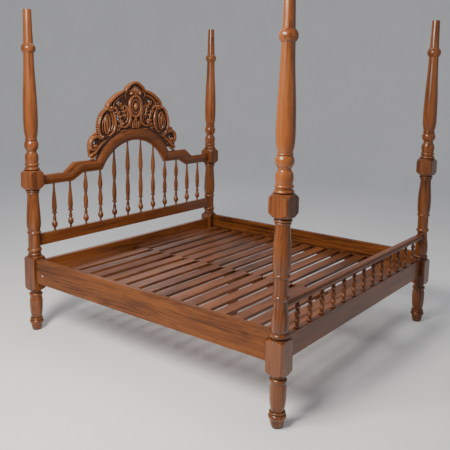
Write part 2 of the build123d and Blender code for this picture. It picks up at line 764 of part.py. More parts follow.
# Openings pierced between the scrolls: (x, height, width, height of the opening, lean in degrees).
crest_openings = [
    (112, 165, 30, 64, 10), (176, 92, 36, 84, -14), (104, 78, 26, 44, 8), (244, 60, 22, 104, -8),
    (336, 52, 18, 100, 0), (172, 212, 56, 24, -25), (62, 22, 18, 40, 0), (196, 4, 20, 44, 8),
    (345, -62, 60, 22, -42), (420, -96, 34, 40, 0), (396, -152, 44, 18, -35),
]
crest_beads = [(46, 276), (262, 196), (424, -38)]
crest_foot_share = 0.93
crest_scale = crest_height / crest_sweeps[0][0][1]


def crest_point(side, x, height):
    """A point of the crest on one side, from its drawn distance and its height above the arch."""
    return side * x, arch_top + height * crest_scale


with BuildPart() as headboard_crest:
    arch_radius = (arch_half_width ** 2 + arch_rise ** 2) / (2 * arch_rise)
    arch_centre = arch_top - arch_radius
    bed_radius = arch_radius + joint_gap
    foot_x = crest_foot_share * arch_half_width
    foot_level = arch_centre + sqrt(bed_radius ** 2 - foot_x ** 2)
    with BuildSketch(Plane.XZ.offset(-half_y - crest_thickness / 2)):
        with BuildLine():
            for side in sides.values():
                first, *others = [[crest_point(side, *point) for point in sweep] for sweep in crest_sweeps]
                Spline(first, tangents=((side, 0), (side * 0.6, -0.8)))
                for sweep in others:
                    Spline(sweep)
                Line(others[-1][-1], (side * foot_x, foot_level))
            ThreePointArc((-foot_x, foot_level), (0, arch_centre + bed_radius), (foot_x, foot_level))
        make_face()
        for side in sides.values():
            for x, level, width, height, lean in crest_openings:
                with Locations(Location((*crest_point(side, x, level), 0), (0, 0, side * lean))):
                    Ellipse(width / 2, height * crest_scale / 2, mode=Mode.SUBTRACT)
    extrude(amount=crest_thickness)
    # The oval boss and the small round beads stand proud of the front.
    front = half_y - crest_thickness / 2
    boss_x, boss_level = crest_point(1, 0, crest_boss_level)
    with BuildSketch(Plane.XZ.offset(-front)):
        with Locations((boss_x, boss_level)):
            Ellipse(crest_boss_half_width, crest_boss_half_height)
    extrude(amount=crest_boss_relief)
    with Locations((boss_x, front - crest_boss_relief, boss_level)):
        Sphere(crest_bead_radius)
    for side in sides.values():
        for x, level in crest_beads:
            bead_x, bead_level = crest_point(side, x, level)
            with Locations((bead_x, front, bead_level)):
                Sphere(crest_bead_radius)
    for side in sides.values():
        x = side * crest_dowel_spread
        level = arc_level(x, arch_half_width, shelf_top, arch_rise)
        hole = crest_dowel_diameter + 2 * joint_gap
        drill = crest_dowel_drill_run_in + crest_dowel_length / 2 + end_gap
        cut_round(x, half_y, level - crest_dowel_drill_run_in, hole, drill, (0, 0, 1))
keep(headboard_crest, "headboard_crest")

with BuildPart() as crest_dowels:
    for side in sides.values():
        x = side * crest_dowel_spread
        level = arc_level(x, arch_half_width, shelf_top, arch_rise)
        start = level - crest_dowel_length / 2
        add_round(x, half_y, start, crest_dowel_diameter, crest_dowel_length, (0, 0, 1))
keep(crest_dowels, "crest_dowels")

# ------------------------------------------------------------------ gallery over the foot rail
with BuildPart() as gallery_top_rail:
    reach = half_x - gallery_housing_radius + gallery_rail_in_post
    with Locations((0, -half_y, gallery_rail_bottom + gallery_rail_height / 2)):
        Box(2 * reach, gallery_rail_width, gallery_rail_height)
    fillet(gallery_top_rail.edges().filter_by(Axis.X).group_by(Axis.Z)[-1], gallery_rail_top_round)
    fillet(gallery_top_rail.edges().filter_by(Axis.X).group_by(Axis.Z)[0], rail_edge_round)
    # A round groove runs along each side, under the rounded top.
    groove_level = gallery_rail_top - gallery_rail_top_round - gallery_rail_groove_radius
    for face_y in (-half_y - gallery_rail_width / 2, -half_y + gallery_rail_width / 2):
        cut_round(-reach, face_y, groove_level, 2 * gallery_rail_groove_radius, 2 * reach, (1, 0, 0))
    for x in gallery_xs:
        hole = spindle_pin_diameter + 2 * joint_gap
        cut_round(x, -half_y, gallery_rail_bottom, hole, spindle_pin_length + end_gap, (0, 0, 1))
keep(gallery_top_rail, "gallery_top_rail")

# A gallery spindle is the same from its middle up and down: disc, neck, ring, bulb and ring, with
# a belly between the two halves that takes up the rest of the height.
lower_half = [gallery_disc, gallery_neck, gallery_thin_ring, gallery_bulb, gallery_ring]
upper_half = [gallery_ring, gallery_upper_bulb, gallery_thin_ring, gallery_neck,
              gallery_disc._replace(end=gallery_foot_radius)]
waist = gallery_opening_height - height_of(lower_half) - height_of(upper_half)
belly = Turning("belly", "bead", waist, 8, gallery_belly_radius)

for index, x in enumerate(gallery_xs):
    with BuildPart() as gallery_spindle:
        turn(lower_half + [belly] + upper_half, x, -half_y, foot_rail_top, gallery_foot_radius)
        add_round(x, -half_y, foot_rail_top, spindle_pin_diameter, spindle_pin_length, (0, 0, -1))
        pin_start = foot_rail_top + gallery_opening_height
        add_round(x, -half_y, pin_start, spindle_pin_diameter, spindle_pin_length, (0, 0, 1))
    keep(gallery_spindle, "gallery_spindle_%02d" % (index + 1))
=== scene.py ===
# %% [markdown]
# # A turned four poster bed
#
# The bed is solid hardwood: four turned posts, rails and slats, a spindle headboard with a carved
# crest, and a low spindle gallery at the foot. The solids come from the frame, at their real size
# and in their real place. This script gives them their wood, carves the crest, and lights the bed.

# %% The frame
import math

import bpy
from mathutils import Matrix, Vector


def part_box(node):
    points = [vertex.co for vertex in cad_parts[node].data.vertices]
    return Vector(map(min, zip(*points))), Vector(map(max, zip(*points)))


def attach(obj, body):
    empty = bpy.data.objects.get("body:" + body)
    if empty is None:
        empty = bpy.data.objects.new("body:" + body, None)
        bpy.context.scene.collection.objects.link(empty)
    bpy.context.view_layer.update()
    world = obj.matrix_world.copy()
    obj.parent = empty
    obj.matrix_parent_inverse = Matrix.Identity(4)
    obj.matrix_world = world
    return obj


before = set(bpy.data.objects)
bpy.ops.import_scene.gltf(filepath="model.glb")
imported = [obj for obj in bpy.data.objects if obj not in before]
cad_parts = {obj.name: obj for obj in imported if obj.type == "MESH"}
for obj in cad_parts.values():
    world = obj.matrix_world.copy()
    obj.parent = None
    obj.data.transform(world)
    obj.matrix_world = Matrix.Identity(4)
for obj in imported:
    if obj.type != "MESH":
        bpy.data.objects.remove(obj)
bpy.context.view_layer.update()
scene = bpy.context.scene
MM = 0.001

# %% [markdown]
# ## Where the camera stands
#
# The bed is seen from beyond its left foot corner, from a little above eye level, with a normal
# lens. The camera comes first, so that everything after it can be judged in the same view. Its
# three axes are worked out from a turn, a tilt and a small roll, because a matrix built from
# axes leaves no doubt about the order of the rotations.

# %% Camera
CAMERA_PLACE = Vector((-3.637, -2.739, 1.830))
CAMERA_TURN = math.radians(52.77)
CAMERA_TILT = math.radians(-8.99)
CAMERA_ROLL = math.radians(1.02)
CAMERA_LENS = 50.87
CAMERA_SHIFT = (-0.0169, -0.1032)
SENSOR_WIDTH = 36.0


def camera_axes(turn, tilt, roll):
    """Right, up and forward directions of a camera that looks along +Y before it turns."""
    level = math.cos(tilt)
    forward = Vector((math.sin(turn) * level, math.cos(turn) * level, math.sin(tilt)))
    level_right = Vector((math.cos(turn), -math.sin(turn), 0))
    level_up = level_right.cross(forward)
    right = level_right * math.cos(roll) + level_up * math.sin(roll)
    up = level_up * math.cos(roll) - level_right * math.sin(roll)
    return right, up, forward


def add_camera():
    data = bpy.data.cameras.new("camera")
    data.lens = CAMERA_LENS
    data.sensor_width = SENSOR_WIDTH
    data.shift_x, data.shift_y = CAMERA_SHIFT
    camera = bpy.data.objects.new("camera", data)
    right, up, forward = camera_axes(CAMERA_TURN, CAMERA_TILT, CAMERA_ROLL)
    turned = Matrix((right, up, -forward)).transposed().to_4x4()
    camera.matrix_world = Matrix.Translation(CAMERA_PLACE) @ turned
    scene.collection.objects.link(camera)
    scene.camera = camera
    print("camera", data.lens, "mm at", tuple(round(v, 2) for v in CAMERA_PLACE))


add_camera()

# %% [markdown]
# ## Floor and light
#
# A studio floor is one sheet that curves up behind the object, so there is no horizon line. Here
# it is plain and pale, and it curves up all round, so that it looks the same from every side. The
# light is one large soft lamp on the left, which models the turned posts from one side. A smaller
# one hangs beside the upper halves of the left-hand posts, and weaker lamps above, at the foot and
# behind keep the shadows open.

# %% Floor
FLOOR_RADIUS = 7.0
COVE_RADIUS = 5.0
COVE_STEPS = 16
WALL_TOP = 9.0
AROUND = 96
PALE_PAINT = (0.86, 0.86, 0.87, 1)
SHADED_PAINT = (0.80, 0.80, 0.82, 1)
PAINT_CLOUDS = 1.3
PAINT_ROUGHNESS = 0.85


def floor_outline():
    """Distance from the middle and height of the floor's edge, its cove and its wall."""
    outline = [(FLOOR_RADIUS, 0.0)]
    for step in range(1, COVE_STEPS + 1):
        turn = math.pi / 2 * step / COVE_STEPS
        reach = FLOOR_RADIUS + COVE_RADIUS * math.sin(turn)
        outline.append((reach, COVE_RADIUS * (1 - math.cos(turn))))
    return outline + [(FLOOR_RADIUS + COVE_RADIUS, WALL_TOP)]


def floor_paint():
    """Matt paint, a little uneven where it was rolled on."""
    material = bpy.data.materials.new("floor_paint")
    material.use_nodes = True
    nodes, links = material.node_tree.nodes, material.node_tree.links
    cloud = nodes.new("ShaderNodeTexNoise")
    cloud.inputs["Scale"].default_value = PAINT_CLOUDS
    links.new(nodes.new("ShaderNodeTexCoord").outputs["Object"], cloud.inputs["Vector"])
    tint = nodes.new("ShaderNodeMix")
    tint.data_type = "RGBA"
    tint.inputs[6].default_value = PALE_PAINT
    tint.inputs[7].default_value = SHADED_PAINT
    links.new(cloud.outputs[0], tint.inputs[0])
    links.new(tint.outputs[2], nodes["Principled BSDF"].inputs["Base Color"])
    nodes["Principled BSDF"].inputs["Roughness"].default_value = PAINT_ROUGHNESS
    return material


def add_floor():
    points, faces = [], []
    outline = floor_outline()
    for reach, height in outline:
        for i in range(AROUND):
            turn = 2 * math.pi * i / AROUND
            points.append((reach * math.cos(turn), reach * math.sin(turn), height))
    faces.append(tuple(range(AROUND)))
    for ring_number in range(len(outline) - 1):
        low = ring_number * AROUND
        for i in range(AROUND):
            after = (i + 1) % AROUND
            faces.append((low + i, low + AROUND + i, low + AROUND + after, low + after))
    mesh = bpy.data.meshes.new("floor")
    mesh.from_pydata(points, [], faces)
    mesh.polygons.foreach_set("use_smooth", [len(face) == 4 for face in faces])
    floor = bpy.data.objects.new("floor", mesh)
    mesh.materials.append(floor_paint())
    scene.collection.objects.link(floor)
    print("floor:", len(faces), "faces")


add_floor()

# %% Lights
WARM, COOL = (1.0, 0.94, 0.86), (0.90, 0.95, 1.0)
# Each lamp's name, its place, where it points, its width, its watts and its colour.
LAMPS = (
    ("key", (-3.9, -0.6, 3.3), (-0.3, 0.3, 1.0), 1.2, 182, WARM),
    ("post_light", (-2.7, -0.1, 2.9), (-0.98, 0.0, 2.1), 0.8, 75, WARM),
    ("top", (0.4, 0.4, 4.8), (0, 0, 0.4), 3.0, 45, WARM),
    ("foot_fill", (0.5, -6.0, 2.2), (0, 0, 0.8), 3.0, 14, COOL),
    ("back_fill", (4.2, 5.4, 3.6), (0, 0, 1.0), 2.4, 22, COOL),
)
SKY_COLOR = (0.86, 0.90, 0.96, 1)
SKY_STRENGTH = 0.37


def add_lamp(name, place, aim, size, power, color):
    data = bpy.data.lights.new(name, "AREA")
    data.shape = "DISK"
    data.size = size
    data.energy = power
    data.color = color
    lamp = bpy.data.objects.new(name, data)
    lamp.location = place
    lamp.rotation_euler = (Vector(aim) - Vector(place)).to_track_quat("-Z", "Y").to_euler()
    scene.collection.objects.link(lamp)


def add_sky():
    world = bpy.data.worlds.new("studio")
    world.use_nodes = True
    background = world.node_tree.nodes["Background"]
    background.inputs["Color"].default_value = SKY_COLOR
    background.inputs["Strength"].default_value = SKY_STRENGTH
    scene.world = world


for lamp in LAMPS:
    add_lamp(*lamp)
add_sky()

# %% [markdown]
# ## Building node groups
#
# Grain, painted shade in the hollows, and wear with a painted highlight on the edges are wanted in
# every wood on the bed, each time with other values. A node group is built once, with named sockets,
# and placed in each material. Two small helpers keep the group code short: one makes a group with its
# sockets, the other adds a node and plugs its inputs.

# %% Helpers for node trees


def new_group(name, inputs, outputs):
    """A shader node group. inputs and outputs map a socket's name to its type and default."""
    tree = bpy.data.node_groups.new(name, "ShaderNodeTree")
    for label, (kind, default) in inputs.items():
        socket = tree.interface.new_socket(label, in_out="INPUT", socket_type="NodeSocket" + kind)
        if default is not None:
            socket.default_value = default
    for label, kind in outputs.items():
        tree.interface.new_socket(label, in_out="OUTPUT", socket_type="NodeSocket" + kind)
    return tree, tree.nodes.new("NodeGroupInput"), tree.nodes.new("NodeGroupOutput")


def plug(tree, socket, value):
    """Link a socket to another node's output, or set its constant value."""
    if isinstance(value, bpy.types.NodeSocket):
        tree.links.new(value, socket)
    else:
        socket.default_value = value


def node(tree, kind, settings=None, **inputs):
    """Add a node. settings are its properties; inputs are plugged by name, or by number as i0, i1."""
    made = tree.nodes.new("ShaderNode" + kind)
    for key, value in (settings or {}).items():
        setattr(made, key, value)
    for key, value in inputs.items():
        by_number = key[0] == "i" and key[1:].isdigit()
        plug(tree, made.inputs[int(key[1:]) if by_number else key.replace("_", " ")], value)
    return made


def calc(tree, operation, *values):
    """One Math node."""
    made = node(tree, "Math", {"operation": operation})
    for socket, value in zip(made.inputs, values):
        plug(tree, socket, value)
    return made.outputs[0]


def blend_color(tree, factor, a, b, mode="MIX"):
    """Mix two colours by a factor."""
    made = node(tree, "Mix", {"data_type": "RGBA", "blend_type": mode, "clamp_factor": True})
    for number, value in ((0, factor), (6, a), (7, b)):
        plug(tree, made.inputs[number], value)
    return made.outputs[2]


def ramp(tree, value, low, high, out_low=0.0, out_high=1.0):
    """Map a value from one range to another, smoothly, and clamp it."""
    made = node(tree, "MapRange", {"interpolation_type": "SMOOTHSTEP", "clamp": True})
    for number, item in enumerate((value, low, high, out_low, out_high)):
        plug(tree, made.inputs[number], item)
    return made.outputs[0]


def noise(tree, vector, scale, detail=2.0, rough=0.5, distortion=0.0):
    """Soft random clouds."""
    made = node(tree, "TexNoise", None, Vector=vector, Scale=scale, Detail=detail,
                Roughness=rough, Distortion=distortion)
    return made.outputs[0]


def stretch(tree, vector, scale):
    """Multiply a position by a fixed scale on each axis."""
    made = node(tree, "VectorMath", {"operation": "MULTIPLY"})
    plug(tree, made.inputs[0], vector)
    made.inputs[1].default_value = scale
    return made.outputs[0]


print("node helpers ready")

# %% [markdown]
# ## The grain of the wood
#
# A board shows the tree's yearly rings as long bands, cut across by the saw. The rings are made
# here as nested tubes around a tilted, wandering pith that lies outside the board, so flat faces
# show arches and straight lines. Fine pores run with the grain as short dark dashes, broad tone
# changes drift along the length, and a few knots push the rings aside and darken the middle.
# All of it is driven by position in metres with the grain along Z, so its scale is real.

# %% Wood grain group
# How often each pattern repeats in a metre, across the grain (twice) and along it.
KNOT_CELLS = (9.0, 9.0, 4.0)
PITH_DRIFT = (3.0, 3.0, 0.9)
RING_RIPPLE = (14.0, 14.0, 1.6)
TONE_CLOUDS = (8.0, 8.0, 1.1)
FIBRES = (420.0, 420.0, 9.0)
PORES = (760.0, 760.0, 22.0)
STREAKS = (56.0, 56.0, 1.3)
PATCHES = (16.0, 16.0, 3.6)
# The rings' own position runs slowly along the grain, so that they come out as long bands.
ALONG_RINGS = (1.0, 1.0, 0.04)
PITH_PLACE = (0.11, 0.07, 0.0)
KNOT_REACH = 0.32
# Each cell draws a number from 0 to 1, and only those above this narrow range grow a knot.
KNOT_LOTS = (0.50, 0.54)
KNOT_PUSH = 0.035
PORE_COLOR = (0.035, 0.014, 0.007, 1)
KNOT_COLOR = (0.045, 0.017, 0.008, 1)
SATIN_ROUGHNESS = 0.36


def make_grain_group():
    inputs = {
        "Vector": ("Vector", (0, 0, 0)),
        "Light": ("Color", (0.42, 0.20, 0.09, 1)),
        "Dark": ("Color", (0.14, 0.05, 0.02, 1)),
        "Ring Size": ("Float", 0.009),
        "Wander": ("Float", 0.03),
        "Knots": ("Float", 0.5),
        "Pores": ("Float", 0.5),
        "Patches": ("Float", 0.3),
        "Figure": ("Float", 1.0),
    }
    outputs = {"Color": "Color", "Roughness": "Float", "Height": "Float"}
    tree, given, result = new_group("wood_grain", inputs, outputs)
    place = given.outputs["Vector"]

    # Knots: scattered cells, much longer along the grain than across it.
    cells = node(tree, "TexVoronoi", {"feature": "F1", "distance": "EUCLIDEAN"},
                 Vector=stretch(tree, place, KNOT_CELLS), Scale=1.0, Randomness=1.0)
    lot = node(tree, "SeparateColor", None, Color=cells.outputs["Color"]).outputs[0]
    chosen = ramp(tree, lot, *KNOT_LOTS)
    near = ramp(tree, cells.outputs["Distance"], KNOT_REACH, 0.0)
    knot = calc(tree, "MULTIPLY", calc(tree, "MULTIPLY", near, chosen), given.outputs["Knots"])

    # Rings: the distance from a pith that wanders slowly along the grain, pushed out by knots.
    drift = noise(tree, stretch(tree, place, PITH_DRIFT), 1.0, 2.0)
    ripple = noise(tree, stretch(tree, place, RING_RIPPLE), 1.0, 3.0)
    across = stretch(tree, place, ALONG_RINGS)
    offset = node(tree, "VectorMath", {"operation": "ADD"})
    plug(tree, offset.inputs[0], across)
    offset.inputs[1].default_value = PITH_PLACE
    reach = node(tree, "VectorMath", {"operation": "LENGTH"})
    plug(tree, reach.inputs[0], offset.outputs[0])
    wide_wander = calc(tree, "MULTIPLY", given.outputs["Wander"], 3.0)
    pushed = calc(tree, "MULTIPLY_ADD", drift, wide_wander, reach.outputs["Value"])
    pushed = calc(tree, "MULTIPLY_ADD", ripple, given.outputs["Wander"], pushed)
    pushed = calc(tree, "MULTIPLY_ADD", knot, KNOT_PUSH, pushed)
    phase = calc(tree, "FRACT", calc(tree, "DIVIDE", pushed, given.outputs["Ring Size"]))
    # A ring darkens slowly through the season and ends in a sharp late line.
    late = calc(tree, "MULTIPLY", calc(tree, "POWER", phase, 2.2), ramp(tree, phase, 1.0, 0.93))
    tone = noise(tree, stretch(tree, place, TONE_CLOUDS), 1.0, 3.0, 0.55)
    late = calc(tree, "MULTIPLY", late, ramp(tree, tone, 0.30, 0.68, 0.30, 1.0))

    # Fibres, pores, streaks and patches.
    fibre = noise(tree, stretch(tree, place, FIBRES), 1.0, 3.0, 0.6)
    pore = ramp(tree, noise(tree, stretch(tree, place, PORES), 1.0, 1.0), 0.66, 0.74)
    pore = calc(tree, "MULTIPLY", pore, given.outputs["Pores"])
    streak = ramp(tree, noise(tree, stretch(tree, place, STREAKS), 1.0, 4.0, 0.65), 0.47, 0.64)
    patch = ramp(tree, noise(tree, stretch(tree, place, PATCHES), 1.0, 4.0, 0.6, 0.8), 0.46, 0.64)

    # How dark all of them make the wood, from the light colour at 0 to the dark one at 1.
    shade = calc(tree, "MULTIPLY", late, 0.70)
    shade = calc(tree, "MULTIPLY_ADD", ramp(tree, tone, 0.34, 0.70), 0.30, shade)
    shade = calc(tree, "MULTIPLY_ADD", calc(tree, "SUBTRACT", fibre, 0.5), 0.45, shade)
    shade = calc(tree, "MULTIPLY_ADD", streak, 0.48, shade)
    shade = calc(tree, "MULTIPLY_ADD", patch, given.outputs["Patches"], shade)
    shade = calc(tree, "MULTIPLY", shade, given.outputs["Figure"])
    color = blend_color(tree, shade, given.outputs["Light"], given.outputs["Dark"])
    color = blend_color(tree, calc(tree, "MULTIPLY", pore, 0.55), color, PORE_COLOR)
    dark_knot = calc(tree, "MULTIPLY", calc(tree, "POWER", knot, 1.6), 0.9)
    color = blend_color(tree, dark_knot, color, KNOT_COLOR)
    plug(tree, result.inputs["Color"], color)

    # Late rings are denser and smoother, pores are open and rougher.
    rough = calc(tree, "MULTIPLY_ADD", late, -0.05, SATIN_ROUGHNESS)
    rough = calc(tree, "MULTIPLY_ADD", calc(tree, "SUBTRACT", fibre, 0.5), 0.18, rough)
    plug(tree, result.inputs["Roughness"], calc(tree, "MULTIPLY_ADD", pore, 0.15, rough))
    height = calc(tree, "MULTIPLY_ADD", fibre, 0.5, calc(tree, "MULTIPLY", late, 0.25))
    plug(tree, result.inputs["Height"], calc(tree, "MULTIPLY_ADD", pore, -0.8, height))
    return tree


grain_group = make_grain_group()
print("grain group:", len(grain_group.nodes), "nodes")

# %% [markdown]
# ## Painted shade in the hollows, wear and a painted highlight on the edges
#
# The grooves between turned rings and the ground of the carving are painted darker: this is painted
# shade, where light hardly reaches. The proud edges are painted paler, partly as the wear of hands
# and cloths and partly as a painted highlight. An ambient occlusion node finds the hollows, and a
# Bevel
# node finds the edges: where its rounded normal differs from the true one, an edge is near. Both
# depend only on the shape, never on the view.

# %% Painted shade and worn highlight group
# Ambient occlusion levels between which the painted shade in the hollows fades out.
SHUT_IN, IN_THE_OPEN = 0.30, 0.96
FLAT_ENOUGH, SURELY_AN_EDGE = 0.99, 0.80
# How patchy the edges' wear and painted highlight are.
WORN_HIGHLIGHT_PATCHES = 34.0


def make_shade_and_worn_highlight_group():
    inputs = {
        "Color": ("Color", (0.4, 0.2, 0.1, 1)),
        "Reach": ("Float", 0.03),
        # How dark the painted shade in the hollows is.
        "Hollows": ("Float", 0.8),
        "Edge": ("Float", 0.003),
        # How pale the edges are painted, partly as wear and partly as a painted highlight.
        "Wear": ("Float", 0.5),
        # The colour of the painted shade in the hollows, and of the edges' wear and painted
        # highlight.
        "ShadeColor": ("Color", (0.02, 0.008, 0.004, 1)),
        "WornHighlight": ("Color", (0.42, 0.18, 0.07, 1)),
    }
    outputs = {"Color": "Color", "Hollow": "Float"}
    tree, given, result = new_group("painted_shade_and_worn_highlight", inputs, outputs)
    # Painted shade: the hollows that the ambient occlusion node finds are darkened.
    shut = node(tree, "AmbientOcclusion", {"samples": 6}, Distance=given.outputs["Reach"])
    open_sky = ramp(tree, shut.outputs["AO"], SHUT_IN, IN_THE_OPEN)
    painted_shade = calc(tree, "MULTIPLY", calc(tree, "SUBTRACT", 1.0, open_sky), given.outputs["Hollows"])

    # Edges painted paler: partly wear, partly a painted highlight, and none in the hollows.
    rounded = node(tree, "Bevel", {"samples": 4}, Radius=given.outputs["Edge"])
    true_normal = node(tree, "NewGeometry").outputs["Normal"]
    agree = node(tree, "VectorMath", {"operation": "DOT_PRODUCT"})
    plug(tree, agree.inputs[0], rounded.outputs[0])
    plug(tree, agree.inputs[1], true_normal)
    edge = ramp(tree, agree.outputs["Value"], FLAT_ENOUGH, SURELY_AN_EDGE)
    place = node(tree, "TexCoord").outputs["Object"]
    patchy = ramp(tree, noise(tree, place, WORN_HIGHLIGHT_PATCHES, 3.0), 0.35, 0.65)
    worn_highlight = calc(tree, "MULTIPLY", calc(tree, "MULTIPLY", edge, patchy), given.outputs["Wear"])
    worn_highlight = calc(tree, "MULTIPLY", worn_highlight, open_sky)

    color = blend_color(tree, worn_highlight, given.outputs["Color"], given.outputs["WornHighlight"])
    plug(tree, result.inputs["Color"], blend_color(tree, painted_shade, color, given.outputs["ShadeColor"]))
    plug(tree, result.inputs["Hollow"], painted_shade)
    return tree


shade_and_worn_highlight_group = make_shade_and_worn_highlight_group()
print("hollows and edges group:", len(shade_and_worn_highlight_group.nodes), "nodes")

# %% [markdown]
# ## Every board from its own tree
#
# Neighbouring boards never match. A piece gets a random number of its own from its object, and
# the loose slats, which share one object, get theirs from their place along the bed. The number
# shifts the grain, so each board shows other rings, and makes it a little paler or darker.

# %% Own board group
# How far apart in the tree, in metres on each axis, the boards with numbers 0 and 1 are cut.
BOARDS_APART = (3.7, 5.3, 11.0)


def make_board_group():
    inputs = {
        "Vector": ("Vector", (0, 0, 0)),
        "Own": ("Float", 0.5),
        "Turn": ("Vector", (0, 0, 0)),
    }
    outputs = {"Vector": "Vector"}
    tree, given, result = new_group("own_board", inputs, outputs)
    turned = node(tree, "VectorRotate", {"rotation_type": "EULER_XYZ"},
                  Vector=given.outputs["Vector"], Rotation=given.outputs["Turn"])
    x, y, z = (calc(tree, "MULTIPLY", given.outputs["Own"], apart) for apart in BOARDS_APART)
    jump = node(tree, "CombineXYZ", None, X=x, Y=y, Z=z)
    moved = node(tree, "VectorMath", {"operation": "ADD"})
    plug(tree, moved.inputs[0], turned.outputs[0])
    plug(tree, moved.inputs[1], jump.outputs[0])
    plug(tree, result.inputs["Vector"], moved.outputs[0])
    return tree


board_group = make_board_group()
print("own board group:", len(board_group.nodes), "nodes")

# %% [markdown]
# ## The wood finishes
#
# The wood is a reddish brown hardwood under satin varnish. One function places the groups and
# sets the shader, and each finish has its own values: which way its grain runs, how light it is,
# how many knots it shows, how shiny it is rubbed. The thin varnish is the shader's coat. The crest
# board's flat front, the ground of the carving, is also painted darker, as painted shade between
# the carved bands.

# %% Wood material
GRAIN_TURN = {"x": (0, math.pi / 2, 0), "y": (math.pi / 2, 0, 0), "z": (0, 0, 0)}
LIGHT_WOOD = (0.190, 0.057, 0.0135, 1)
DARK_WOOD = (0.027, 0.007, 0.0025, 1)
# Colour of the painted shade on the crest board's flat front, the ground of the carving.
GROUND_SHADE = (0.016, 0.006, 0.003, 1)
DARK_BOARD, PALE_BOARD = 0.80, 1.18
HOLLOW_ROUGHNESS = 0.25
GRAIN_DEPTH = 0.0006
BUMP_STRENGTH = 0.25


def place_group(tree, group, **inputs):
    """Place a node group and plug its inputs by name."""
    made = tree.nodes.new("ShaderNodeGroup")
    made.node_tree = group
    for key, value in inputs.items():
        plug(tree, made.inputs[key.replace("_", " ")], value)
    return made


def wood(name, grain, light=LIGHT_WOOD, dark=DARK_WOOD, ring=0.009, wander=0.03, knots=0.5,
         pores=0.5, reach=0.03, hollow_shade=0.8, wear_highlight=0.5, coat=0.16, coat_rough=0.16,
         gloss=0.0, patches=0.25, figure=1.0, slats=None, front_shade=0.0, specular=0.32):
    """One finish. grain is the axis that the fibres run along.

    slats is only for loose slats in one object: their pitch, and where along the bed one begins.
    """
    material = bpy.data.materials.new(name)
    material.use_nodes = True
    tree = material.node_tree
    shader = tree.nodes["Principled BSDF"]
    place = node(tree, "TexCoord").outputs["Object"]
    if slats:
        # Each slat has its own number, from its place along the bed.
        pitch, start = slats
        along = node(tree, "SeparateXYZ", None, Vector=place).outputs[1]
        count = calc(tree, "DIVIDE", calc(tree, "SUBTRACT", along, start), pitch)
        count = calc(tree, "FLOOR", count)
        own = node(tree, "TexWhiteNoise", {"noise_dimensions": "1D"}, W=count).outputs["Value"]
    else:
        own = node(tree, "ObjectInfo").outputs["Random"]
    board = place_group(tree, board_group, Vector=place, Own=own, Turn=GRAIN_TURN[grain])
    grained = place_group(tree, grain_group, Vector=board.outputs["Vector"], Light=light, Dark=dark,
                          Ring_Size=ring, Wander=wander, Knots=knots, Pores=pores,
                          Patches=patches, Figure=figure)
    tone = ramp(tree, own, 0.0, 1.0, DARK_BOARD, PALE_BOARD)
    color = node(tree, "VectorMath", {"operation": "SCALE"}, i0=grained.outputs["Color"],
                 Scale=tone).outputs[0]
    if front_shade:
        # Painted shade on the ground of the carving: only the flat front faces the foot this
        # squarely.
        facing = node(tree, "VectorMath", {"operation": "DOT_PRODUCT"},
                      i0=node(tree, "NewGeometry").outputs["Normal"], i1=(0.0, -1.0, 0.0))
        shaded_ground = ramp(tree, facing.outputs["Value"], 0.90, 0.99, 0.0, front_shade)
        color = blend_color(tree, shaded_ground, color, GROUND_SHADE)
    # Painted shade in the hollows, and wear with a painted highlight on the edges.
    shaded_and_worn_highlight = place_group(tree, shade_and_worn_highlight_group, Color=color, Reach=reach, Hollows=hollow_shade, Wear=wear_highlight)
    plug(tree, shader.inputs["Base Color"], shaded_and_worn_highlight.outputs["Color"])
    rubbed = calc(tree, "SUBTRACT", grained.outputs["Roughness"], gloss)
    rough = calc(tree, "MULTIPLY_ADD", shaded_and_worn_highlight.outputs["Hollow"], HOLLOW_ROUGHNESS, rubbed)
    plug(tree, shader.inputs["Roughness"], rough)
    relief = node(tree, "Bump", None, Height=grained.outputs["Height"], Strength=BUMP_STRENGTH,
                  Distance=GRAIN_DEPTH)
    plug(tree, shader.inputs["Normal"], relief.outputs["Normal"])
    shader.inputs["Coat Weight"].default_value = coat
    shader.inputs["Coat Roughness"].default_value = coat_rough
    shader.inputs["Specular IOR Level"].default_value = specular
    return material


# Each finish sets its painted shade in the hollows, and the wear and painted highlight on its edges.
post_wood = wood("post_wood", "z", ring=0.017, wander=0.030, knots=0.35, reach=0.028, wear_highlight=0.55,
                 gloss=0.10, coat=0.30, figure=0.72, light=(0.215, 0.065, 0.0150, 1))
spindle_wood = wood("spindle_wood", "z", ring=0.012, wander=0.015, knots=0.0, reach=0.014, wear_highlight=0.6,
                    gloss=0.05, figure=0.6)
rail_wood_y = wood("side_rail_wood", "y", ring=0.022, wander=0.050, knots=1.0, patches=0.30,
                   figure=0.85, light=(0.158, 0.050, 0.0115, 1), coat=0.06, specular=0.18)
rail_wood_x = wood("cross_rail_wood", "x", ring=0.024, wander=0.045, knots=0.7, figure=0.6)
frame_wood_y = wood("ledger_wood", "y", knots=0.6, coat=0.0, hollow_shade=0.9, wear_highlight=0.2)
frame_wood_z = wood("leg_wood", "z", knots=0.3, coat=0.0, wear_highlight=0.3)
carved_wood = wood("carved_wood", "x", ring=0.010, wander=0.02, knots=0.0, reach=0.040, hollow_shade=1.0,
                   wear_highlight=0.7, gloss=0.08, figure=0.4, coat=0.3, coat_rough=0.2,
                   light=(0.235, 0.080, 0.025, 1))
# The crest board's flat front is painted darker, as painted shade on the ground of the carving.
crest_board_wood = wood("crest_board_wood", "x", ring=0.010, wander=0.02, knots=0.0, reach=0.040,
                        hollow_shade=1.0, wear_highlight=0.7, figure=0.6, front_shade=0.72)
print("woods:", [m.name for m in bpy.data.materials if m.name.endswith("_wood")])

